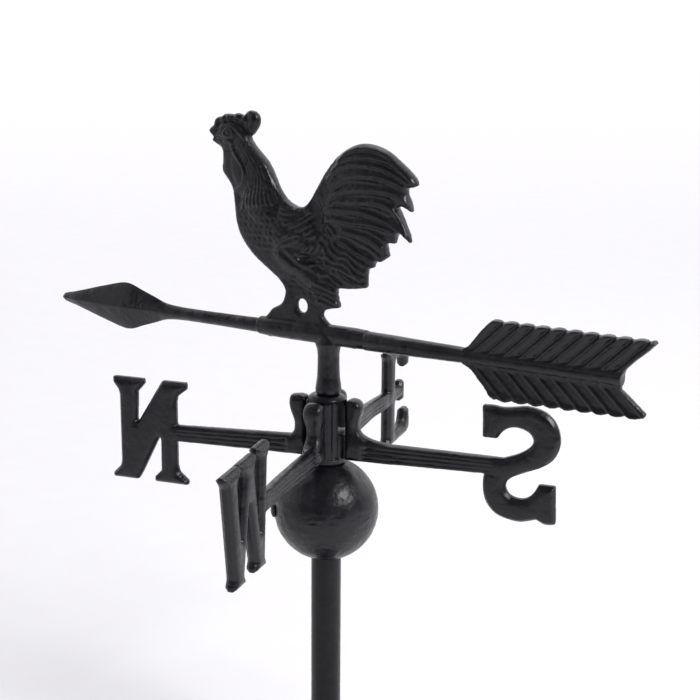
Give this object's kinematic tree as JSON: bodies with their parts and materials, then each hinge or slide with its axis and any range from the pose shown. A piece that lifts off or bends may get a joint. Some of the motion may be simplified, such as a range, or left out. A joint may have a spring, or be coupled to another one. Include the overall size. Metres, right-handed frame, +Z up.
{
  "type": "weather vane",
  "caption": "Cast-iron weather vane: a rooster on an arrow swivels on a pole above a fixed cross of compass letters and a ball.",
  "frame": {"origin": "on the pole's axis, at the underside of the mounting base", "axes": "+Z up the pole, +Y towards the N arm, +X towards the E arm"},
  "size_m": [0.332, 0.4347, 0.4575],
  "materials": {
    "black_iron": "sand-cast iron under semi-gloss black paint",
    "pole_paint": "steel bar under semi-gloss black paint",
    "screw_black": "black-painted steel",
    "bearing_steel": "polished hardened steel"
  },
  "bodies": {
    "mast": {"base_flange": "black_iron", "base_set_screw": "screw_black", "base_screw_1": "screw_black", "base_screw_2": "screw_black", "base_screw_3": "screw_black", "base_screw_4": "screw_black", "pole": "pole_paint", "ball": "black_iron", "ball_set_screw": "screw_black", "hub": "black_iron", "hub_set_screw": "screw_black", "hub_cap": "black_iron", "arm_east": "black_iron", "arm_north": "black_iron", "arm_west": "black_iron", "arm_south": "black_iron"},
    "vane": {"rooster": "black_iron", "arrow_head": "black_iron", "arrow_tail": "black_iron", "arrow_head_screw": "screw_black", "arrow_tail_screw": "screw_black", "thrust_ball": "bearing_steel"}
  },
  "joints": [
    {"name": "vane_spin", "type": "hinge", "parent": "mast", "child": "vane", "pos_m": [0, 0, 0.24], "axis": [0, 0, 1], "continuous": true}
  ]
}
